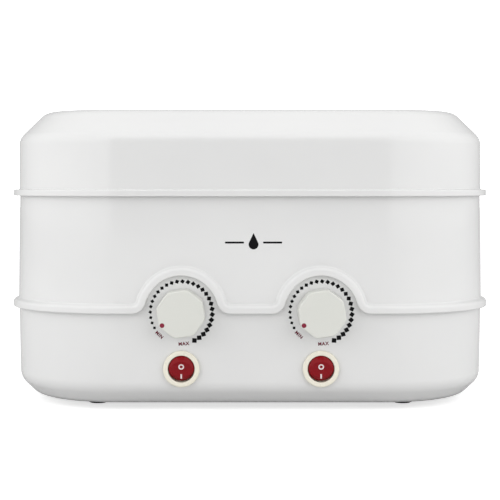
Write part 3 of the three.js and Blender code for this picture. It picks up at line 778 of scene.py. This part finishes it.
def make_ear(name, end, place):
    """A plate that stands on the pot's rim, with an eye for the bail."""
    half_foot = 5.5
    foot_z = POT_RIM - 1.4
    head_radius = 3.9
    eye_radius = 2.05
    outline = [(-half_foot, foot_z), (half_foot, foot_z)]
    outline += arc(0, EYE_Z, head_radius, 0, 180, 24)
    upright = Matrix.Rotation(math.pi / 2, 4, "Z") @ Matrix.Rotation(math.pi / 2, 4, "X")
    at = place @ upright
    ear = mesh_object(f"pot_ear_{name}_{end}", moved(slab(outline, 0, EAR_THICKNESS, 0.35), at))
    hole = moved(bar(eye_radius, -2, 4, 0, EYE_Z), at)
    finished(bored(ear, [hole]), f"pot_{name}", aluminium)


def make_bail(name, place):
    """The wire runs straight out through both ears, bends and lies round the pot's rear."""
    half_width = 59.5
    reach = span("bail_left")[1].y - BODY_Y - WIRE_RADIUS
    end_x = EAR_X - EAR_THICKNESS
    through_ear = 3.4
    bend = curve([(end_x + through_ear, 0), (half_width, 0), (half_width, 4)], 10)
    elbow = [(end_x, 0), *bend]
    bow = arc(0, 0, 1, 5, 175, 72)
    line = [(x, y, EYE_Z) for x, y in elbow]
    line += [(half_width * x, reach * y, EYE_Z) for x, y in bow]
    line += [(-x, y, EYE_Z) for x, y in reversed(elbow)]
    wire = mesh_object(f"bail_wire_{name}", moved(tube(line, WIRE_RADIUS, 20), place))
    finished(wire, f"bail_{name}", zinc_steel, f"bail_{name}")


def make_wells():
    inner = 54
    outer = inner + SHEET
    flange_radius = 60
    floor = span("well_left")[0].z
    flange = DECK_TOP + FLANGE_RISE
    profile = softened([
        (0, floor),
        (outer, floor, 3),
        (outer, flange),
        (flange_radius, flange, 0.5),
        (flange_radius, flange + SHEET, 0.5),
        (inner, flange + SHEET, 0.9),
        (inner, floor + SHEET, 2),
        (0, floor + SHEET),
    ], 5)
    for name, sign in SIDES:
        place = Matrix.Translation((sign * POT_X, 0, 0))
        cup = mesh_object(f"well_cup_{name}", moved(turned(profile, 128), place))
        finished(cup, "housing", aluminium, f"well_{name}")


# ------------------------------------------------------------------------------------------
# Dials

KNOB_SIDES = 8
KNOB_FACE = 14.0
POINTER_ANGLE = 211
POINTER_RADIUS = 13.3
PRINT_DEPTH = 0.05


def knob_ring(flat, z, steps=128):
    """An eight-sided outline with softened corners; flat is half the width over its sides."""
    sharpness = 30
    ring = []
    for i in range(steps):
        angle = 2 * math.pi * i / steps
        total = 0.0
        for side in range(KNOB_SIDES):
            facing = math.radians(POINTER_ANGLE + 180 / KNOB_SIDES + side * 360 / KNOB_SIDES)
            total += max(math.cos(angle - facing), 0) ** sharpness
        radius = flat / total ** (1 / sharpness)
        ring.append((radius * math.cos(angle), radius * math.sin(angle), z))
    return ring


def make_dials():
    turn = math.radians(POINTER_ANGLE)
    dot_place = Vector((math.cos(turn), math.sin(turn))) * POINTER_RADIUS
    for name, sign in SIDES:
        at = on_front(sign * CONTROL_X, SEAM_INSET - HALF_Y, DIAL_Z)
        make_knob(name, at, dot_place)
        make_pointer(name, at, dot_place)
        make_dial_marks(name, sign * CONTROL_X)


def make_knob(name, at, dot_place):
    flat = 14.65
    back = 0.8
    taper = 0.3
    profile = softened([
        (-5, back),
        (0, back, 0.5),
        (-taper, KNOB_FACE, 0.9),
        (-6, KNOB_FACE),
    ], 8)
    rings = [knob_ring(flat + inset, z) for inset, z in profile]
    cap = mesh_object(f"knob_cap_{name}", moved(bridged(rings, capped=(True, True)), at), 50)
    hollow = bar(10, -1, 5)
    shaft_bore = bar(3.3, -1, 10.8)
    dot_seat = bar(1.5, KNOB_FACE - 0.5, KNOB_FACE + 1, dot_place.x, dot_place.y)
    tools = [moved(tool, at) for tool in (hollow, shaft_bore, dot_seat)]
    finished(bored(cap, tools, 50), f"dial_{name}", knob_plastic, f"knob_{name}")


def make_pointer(name, at, dot_place):
    outline = arc(dot_place.x, dot_place.y, 1.45, 0, 352.5, 47)
    dot = slab(outline, KNOB_FACE - 0.45, KNOB_FACE + 0.05, 0.08)
    inlay = mesh_object(f"pointer_inlay_{name}", moved(dot, at))
    finished(inlay, f"dial_{name}", pointer_red, f"pointer_dot_{name}")


def on_panel(x, z, lift):
    """A point on the front of the base, which leans back towards its foot."""
    return (x, base_inset(z) - HALF_Y - lift, z)


def make_dial_marks(name, centre_x):
    """The heat scale, whose squares grow round the dial, and its two words."""
    count = 28
    ring_radius = 19.5
    start = 210
    sweep = -275
    smallest = 1.6
    growth = 1.25
    lean = 30
    marks = []
    for i in range(count):
        share = i / (count - 1)
        angle = start + sweep * share
        half = (smallest + growth * share) / 2
        turn = Matrix.Rotation(math.radians(angle - lean), 2)
        place = Vector(arc(0, 0, ring_radius, angle, angle, 1)[0])
        corners = [place + turn @ Vector(c) * half for c in ((-1, -1), (1, -1), (1, 1), (-1, 1))]
        rings = []
        for lift in (-PRINT_DEPTH, PRINT_DEPTH):
            rings.append([on_panel(centre_x + c.x, DIAL_Z + c.y, lift) for c in corners])
        marks.append(bridged(rings, capped=(True, True)))
    obj = mesh_object(f"heat_scale_{name}", together(*marks))
    finished(obj, "housing", black_ink)
    word_radius = 19.9
    for word, angle in (("MIN", 225.6), ("MAX", -85.7)):
        make_word(f"{word.lower()}_mark_{name}", word, centre_x, angle, word_radius)


def make_word(name, word, centre_x, angle, radius):
    """A printed word with its letters' tops towards the dial's centre."""
    text = bpy.data.curves.new(name, "FONT")
    text.body = word
    text.size = 2.9
    text.space_character = 1.15
    text.offset = 0.11
    text.align_x = "CENTER"
    text.align_y = "CENTER"
    text.extrude = PRINT_DEPTH
    text.resolution_u = 3
    source = bpy.data.objects.new(name, text)
    bpy.context.scene.collection.objects.link(source)
    depsgraph = bpy.context.evaluated_depsgraph_get()
    flat = bpy.data.meshes.new_from_object(source.evaluated_get(depsgraph))
    bpy.data.objects.remove(source)
    turn = Matrix.Rotation(math.radians(angle + 90), 2)
    place = Vector(arc(centre_x, DIAL_Z, radius, angle, angle, 1)[0])
    vertices = []
    for v in flat.vertices:
        spot = place + turn @ Vector((v.co.x, v.co.y))
        vertices.append(on_panel(spot.x, spot.y, v.co.z))
    faces = [tuple(face.vertices) for face in flat.polygons]
    bpy.data.meshes.remove(flat)
    finished(mesh_object(name, (vertices, faces)), "housing", maroon_ink)


# ------------------------------------------------------------------------------------------
# Rocker switches

ROCKER_RADIUS = 8.1
ROCKER_TILT = 10
MARK_LIFT = 0.2
MARK_SINK = 0.1


def rocker_height(x, y):
    """Height of the rocker's face over its pivot: a shallow V with a bevelled crescent."""
    fold_softness = 0.5
    crescent_centre = 3.07
    crescent_radius = 8.27
    crescent_slope = 1.1
    dish_depth = 0.25
    fold = math.hypot(y, fold_softness) - fold_softness
    face = 1 + fold * math.tan(math.radians(ROCKER_TILT))
    past = math.hypot(x, abs(y) + crescent_centre) - crescent_radius
    across = max(0, 1 - (x / 7) ** 2)
    along = max(0, 1 - ((abs(y) - 3) / 3.4) ** 2)
    return face - crescent_slope * max(past, 0) - dish_depth * across * along


def switch_shape():
    """The body behind the panel, the bezel before it and two terminal blades."""
    body_end = -18
    body_radius = 9.9
    undercut_radius = 10.9
    undercut_top = 0.4
    bezel_radius = 11.5
    bezel_height = 2.0
    bore_radius = ROCKER_RADIUS + 0.35
    bore_floor = -3.5
    profile = softened([
        (0, body_end),
        (body_radius, body_end, 0.6),
        (body_radius, -0.2),
        (undercut_radius, -0.2),
        (undercut_radius, undercut_top),
        (bezel_radius, undercut_top, 0.1),
        (bezel_radius, bezel_height, 1.0),
        (bore_radius, bezel_height, 0.35),
        (bore_radius, bore_floor),
        (0, bore_floor),
    ], 7)
    blades = [box_shape((-3, y - 0.4, -25), (3, y + 0.4, body_end + 0.5)) for y in (-5, 5)]
    return together(turned(profile, 96), *blades)


def make_switches():
    bezel_top_z = SWITCH_Z + 11.5
    wall_y = base_inset(bezel_top_z) - HALF_Y
    pivot = Matrix.Translation((0, 0, 1)) @ Matrix.Rotation(math.radians(ROCKER_TILT), 4, "X")
    symbols = {
        "off": ring_mark(centre_y=1.7, outer=1.8, inner=1.0),
        "on": bar_mark(half_x=0.5, centre_y=-4.5, half_y=1.5),
    }
    for name, sign in SIDES:
        at = on_front(sign * CONTROL_X, wall_y, SWITCH_Z)
        case = mesh_object(f"switch_case_{name}", moved(switch_shape(), at))
        finished(case, "housing", bezel_plastic, f"switch_body_{name}")
        tilted = at @ pivot
        paddle = mesh_object(f"rocker_paddle_{name}", moved(rocker_shape(), tilted), 40)
        finished(paddle, f"rocker_{name}", rocker_red, f"rocker_{name}")
        for label, shape in symbols.items():
            mark = mesh_object(f"{label}_symbol_{name}", moved(shape, tilted))
            finished(mark, f"rocker_{name}", white_ink)


def rocker_shape():
    """The paddle: its face as rings from the rim to the middle, and a skirt below."""
    steps = 96
    edge_drops = {1.0: 0.25, 0.985: 0.06}
    skirt = ((0.6 * ROCKER_RADIUS, -2), (ROCKER_RADIUS - 0.4, -2), (ROCKER_RADIUS, -1.5))
    rings = []
    for r, z in skirt:
        rings.append([(r * math.cos(a), r * math.sin(a), z) for a in turn_angles(steps)])
    for share in (1.0, 0.985, 0.96, 0.92, 0.87, 0.81, 0.74, 0.66, 0.57, 0.47, 0.36, 0.24, 0.12):
        radius = share * ROCKER_RADIUS
        drop = edge_drops.get(share, 0)
        ring = []
        for a in turn_angles(steps):
            x, y = radius * math.cos(a), radius * math.sin(a)
            ring.append((x, y, rocker_height(x, y) - drop))
        rings.append(ring)
    return bridged(rings, capped=(True, True))


def turn_angles(steps):
    return [2 * math.pi * i / steps for i in range(steps)]


def ring_mark(centre_y, outer, inner):
    """A raised O on the rocker's face."""
    rings = []
    section = ((outer, -MARK_SINK), (outer, MARK_LIFT), (inner, MARK_LIFT), (inner, -MARK_SINK))
    for radius, lift in section:
        ring = []
        for a in turn_angles(48):
            x, y = radius * math.cos(a), centre_y + radius * math.sin(a)
            ring.append((x, y, rocker_height(x, y) + lift))
        rings.append(ring)
    return bridged(rings, loop=True)


def bar_mark(half_x, centre_y, half_y):
    """A raised I on the rocker's face."""
    steps = 8
    rows = [centre_y + half_y * (2 * i / steps - 1) for i in range(steps + 1)]
    outline = [(half_x, y) for y in rows] + [(-half_x, y) for y in reversed(rows)]
    rings = []
    for lift in (-MARK_SINK, MARK_LIFT):
        rings.append([(x, y, rocker_height(x, y) + lift) for x, y in outline])
    return bridged(rings, capped=(True, True))


# ------------------------------------------------------------------------------------------
# Feet, screws and inlet

INLET_SCREW_X = 20


def make_feet():
    radius = 7
    height = 4.8
    profile = softened([(0, 0), (radius, 0, 2.4), (radius, height, 0.4), (0, height)], 6)
    groove = turned([(3.8, -1), (4.6, -1), (4.6, 0.5), (3.8, 0.5)])
    for end, (x, y) in zip(ENDS, places("foot")):
        at = Matrix.Translation((x, y, 0))
        grip = mesh_object(f"foot_pad_{end}", moved(turned(profile), at))
        bored(grip, [moved(groove, at)])
        finished(grip, "housing", grey_rubber, f"foot_{end}")


def screw_shape(head_radius, head_low, head_high, shank_radius, shank_end):
    """A pan-head screw that points along +Z, its head's face at head_low."""
    return turned(softened([
        (0, head_low),
        (head_radius, head_low, 0.5),
        (head_radius, head_high, 0.2),
        (shank_radius, head_high),
        (shank_radius, shank_end),
        (0, shank_end),
    ], 4), 40)


def cross_cuts(head_low, depth, half_length=2.0, half_width=0.4):
    low, high = head_low - 1, head_low + depth
    return [
        box_shape((-half_length, -half_width, low), (half_length, half_width, high)),
        box_shape((-half_width, -half_length, low), (half_width, half_length, high)),
    ]


def make_screws():
    head_low = 4.3
    shape = screw_shape(3.6, head_low, head_high=5.7, shank_radius=1.8, shank_end=26)
    for end, (x, y) in zip(ENDS, places("case_screw")):
        at = Matrix.Translation((x, y, 0))
        screw = mesh_object(f"case_screw_body_{end}", moved(shape, at))
        bored(screw, [moved(tool, at) for tool in cross_cuts(head_low, 0.9)])
        finished(screw, "housing", zinc_steel, f"case_screw_{end}")


def inlet_outline(half_x, half_y, side_top, half_top):
    """A box outline with its two upper corners cut off, as on a three-pin inlet."""
    return [
        (-half_x, -half_y), (half_x, -half_y), (half_x, side_top),
        (half_top, half_y), (-half_top, half_y), (-half_x, side_top),
    ]


def make_inlet():
    flange_x = 25
    flange_y = 12
    flange_top = 2.6
    low, high = span("inlet_body")
    at = on_rear(high.y - BODY_Y - flange_top, (low.z + high.z) / 2)
    corners = ((-1, -1), (1, -1), (1, 1), (-1, 1))
    outline = softened([(flange_x * x, flange_y * y, 4) for x, y in corners], 6)
    body = mesh_object("inlet_moulding", moved(slab(outline, 0.1, flange_top, 0.35), at))
    tunnel = slab(inlet_outline(12.6, 8.6, 3.4, 7.4), 0, 4)
    screw_bores = [bar(2.1, -1, 5, x, 0) for x in (-INLET_SCREW_X, INLET_SCREW_X)]
    bored(body, [moved(tool, at) for tool in (tunnel, *screw_bores)])
    finished(body, "housing", black_plastic, "inlet_body")
    trunk = slab(inlet_outline(13.7, 10, 4, 8), -21, 1)
    socket = slab(inlet_outline(12, 8, 3.2, 7.2), -16, 4)
    sleeve = bored(mesh_object("inlet_sleeve", moved(trunk, at)), [moved(socket, at)])
    finished(sleeve, "housing", black_plastic)
    make_inlet_screws(at)


def make_inlet_screws(at):
    head_low = -4.0
    shape = screw_shape(3.2, head_low, head_high=-2.9, shank_radius=1.8, shank_end=9)
    for name, sign in SIDES:
        aside = Matrix.Translation((sign * INLET_SCREW_X, 0, 0))
        place = at @ (aside @ Matrix.Rotation(math.pi, 4, "X"))
        screw = mesh_object(f"flange_screw_{name}", moved(shape, place))
        bored(screw, [moved(tool, place) for tool in cross_cuts(head_low, 0.8)])
        finished(screw, "housing", zinc_steel, f"inlet_screw_{name}")


# ------------------------------------------------------------------------------------------
# A plain droplet between two bars marks the front in place of any name


def housing_front(x, z, lift):
    return (x, housing_inset(z) - HALF_Y - lift, z)


def make_badge():
    badge_x = 1.5
    badge_z = 107
    drop = arc(0, -1.2, 3.1, 150, 390, 28) + [(0, 6)]
    bar_x = 12
    bar_half_length = 6
    bar_half_height = 0.6
    proud = 0.06
    corners = ((-1, -1), (1, -1), (1, 1), (-1, 1))
    outlines = [drop]
    for _, sign in SIDES:
        outlines.append(softened([
            (sign * bar_x + bar_half_length * x, bar_half_height * y, 0.5) for x, y in corners
        ]))
    shapes = []
    for outline in outlines:
        rings = []
        for lift in (-PRINT_DEPTH, proud):
            rings.append([housing_front(badge_x + x, badge_z + y, lift) for x, y in outline])
        shapes.append(bridged(rings, capped=(True, True)))
    finished(mesh_object("droplet_badge", together(*shapes)), "housing", black_ink)


# ------------------------------------------------------------------------------------------
# Pieces that keep their CAD shape


def dress_cad_nodes():
    """Gives every CAD node the material of its slot."""
    looks = {look["slot"]: look for look in (
        white_gloss, knob_plastic, bezel_plastic, pointer_red, rocker_red, black_plastic,
        grey_rubber, aluminium, zinc_steel, heater_steel, brass, wire_sleeve,
    )}
    for part in frame["record"]["subparts"]:
        obj = frame["nodes"][part["node"]]
        obj.data.materials.clear()
        obj.data.materials.append(looks[part["material_slot"]])


# ------------------------------------------------------------------------------------------
# Stage, light and camera


def softbox(name, azimuth, elevation, distance, size, radiance):
    """A rectangular light that faces the heater; azimuth 0 is in front, 90 to the right."""
    light = bpy.data.lights.new(name, "AREA")
    light.shape = "RECTANGLE"
    light.size, light.size_y = size
    light.energy = radiance * math.pi * size[0] * size[1]
    obj = bpy.data.objects.new(name, light)
    centre = Vector((0, 0, 0.1))
    turn, lift = math.radians(azimuth), math.radians(elevation)
    level = math.cos(lift)
    away = Vector((math.sin(turn) * level, -math.cos(turn) * level, math.sin(lift)))
    obj.location = centre + away * distance
    obj.rotation_euler = (-away).to_track_quat("-Z", "Y").to_euler()
    obj.visible_glossy = False
    bpy.context.scene.collection.objects.link(obj)


def make_stage():
    bpy.ops.mesh.primitive_grid_add(x_subdivisions=8, y_subdivisions=8, size=14)
    floor = bpy.context.object
    floor.name = "studio_floor"
    floor.data.materials.append(floor_look())

    make_world()
    for side, sign in SIDES:
        softbox(
            f"{side}_softbox", azimuth=sign * 62, elevation=12, distance=1.5,
            size=(2.2, 1.4), radiance=1.35,
        )


def floor_look():
    """A matt pale sheet that throws little light up and looks white to the lens."""
    albedo = 0.62
    seen_glow = 0.75
    look = material("floor_white", (albedo, albedo, albedo), roughness=0.8)
    seen = node(look, "ShaderNodeLightPath").outputs["Is Camera Ray"]
    shader = look.node_tree.nodes["Principled BSDF"]
    shader.inputs["Emission Color"].default_value = (1, 1, 1, 1)
    glow = maths(look.node_tree, "MULTIPLY", seen, seen_glow)
    link(look, glow, shader.inputs["Emission Strength"])
    return look


def fade(tree, value, full, none):
    """1 where a value is at full, 0 where it is at none, and in between a straight ramp."""
    step = tree.nodes.new("ShaderNodeMapRange")
    step.inputs["From Min"].default_value = full
    step.inputs["From Max"].default_value = none
    step.inputs["To Min"].default_value = 1
    step.inputs["To Max"].default_value = 0
    tree.links.new(value, step.inputs["Value"])
    return step.outputs[0]


def make_world():
    """A white light tent, brightest overhead and dimmer behind, with a dark slot in front."""
    level_radiance = 0.95
    overhead_gain = 0.05
    rear_loss = 0.35
    slot_darkness = 0.95
    backdrop_radiance = 2
    world = bpy.data.worlds.new("light_tent")
    bpy.context.scene.world = world
    world.use_nodes = True
    tree = world.node_tree
    split = tree.nodes.new("ShaderNodeSeparateXYZ")
    direction = tree.nodes.new("ShaderNodeTexCoord").outputs["Generated"]
    tree.links.new(direction, split.inputs[0])
    x, y, z = split.outputs

    middle_strip = fade(tree, maths(tree, "ABSOLUTE", x), 0.12, 0.22)
    below_top = fade(tree, z, 0.5, 0.7)
    front_half = fade(tree, y, -0.1, 0.1)
    slot = maths(tree, "MULTIPLY", maths(tree, "MULTIPLY", middle_strip, below_top), front_half)
    height = maths(tree, "MAXIMUM", z, 0)
    top = maths(tree, "MULTIPLY", maths(tree, "POWER", height, 2), overhead_gain)
    dimming = maths(tree, "MULTIPLY", fade(tree, y, 0.75, 0.2), rear_loss)
    tent = maths(tree, "SUBTRACT", maths(tree, "ADD", top, level_radiance), dimming)
    left_over = maths(tree, "SUBTRACT", 1, maths(tree, "MULTIPLY", slot, slot_darkness))
    lit = maths(tree, "MULTIPLY", tent, left_over)
    seen = tree.nodes.new("ShaderNodeLightPath").outputs["Is Camera Ray"]
    backdrop = maths(tree, "MULTIPLY", seen, backdrop_radiance)
    strength = maths(tree, "MAXIMUM", lit, backdrop)
    tree.links.new(strength, tree.nodes["Background"].inputs["Strength"])
    tree.nodes["Background"].inputs["Color"].default_value = (1, 1, 1, 1)


def make_camera():
    """Near the height of the lid's foot and a little left, with the view shifted back."""
    distance = 0.85
    aside = 0.012
    height = 0.1445
    sensor = 36
    lens = 97.4
    view_down = 0.1342
    # The sideways shift centres the view on a plane this far behind the front wall.
    aim_depth = HALF_Y * MM * 0.6
    data = bpy.data.cameras.new("camera")
    data.sensor_width = sensor
    data.lens = lens
    data.shift_x = aside / (distance + aim_depth) * lens / sensor
    data.shift_y = -view_down
    camera = bpy.data.objects.new("camera", data)
    camera.location = (-aside, (BODY_Y - HALF_Y) * MM - distance, height)
    camera.rotation_euler = (math.pi / 2, 0, 0)
    bpy.context.scene.collection.objects.link(camera)
    bpy.context.scene.camera = camera
    bpy.context.scene.view_settings.view_transform = "Standard"
    bpy.context.scene.view_settings.exposure = -0.12


make_camera()
dress_cad_nodes()
make_lid()
make_housing_wall()
make_deck()
make_deck_posts()
make_base()
make_pots()
make_wells()
make_dials()
make_switches()
make_feet()
make_screws()
make_inlet()
make_badge()
make_stage()
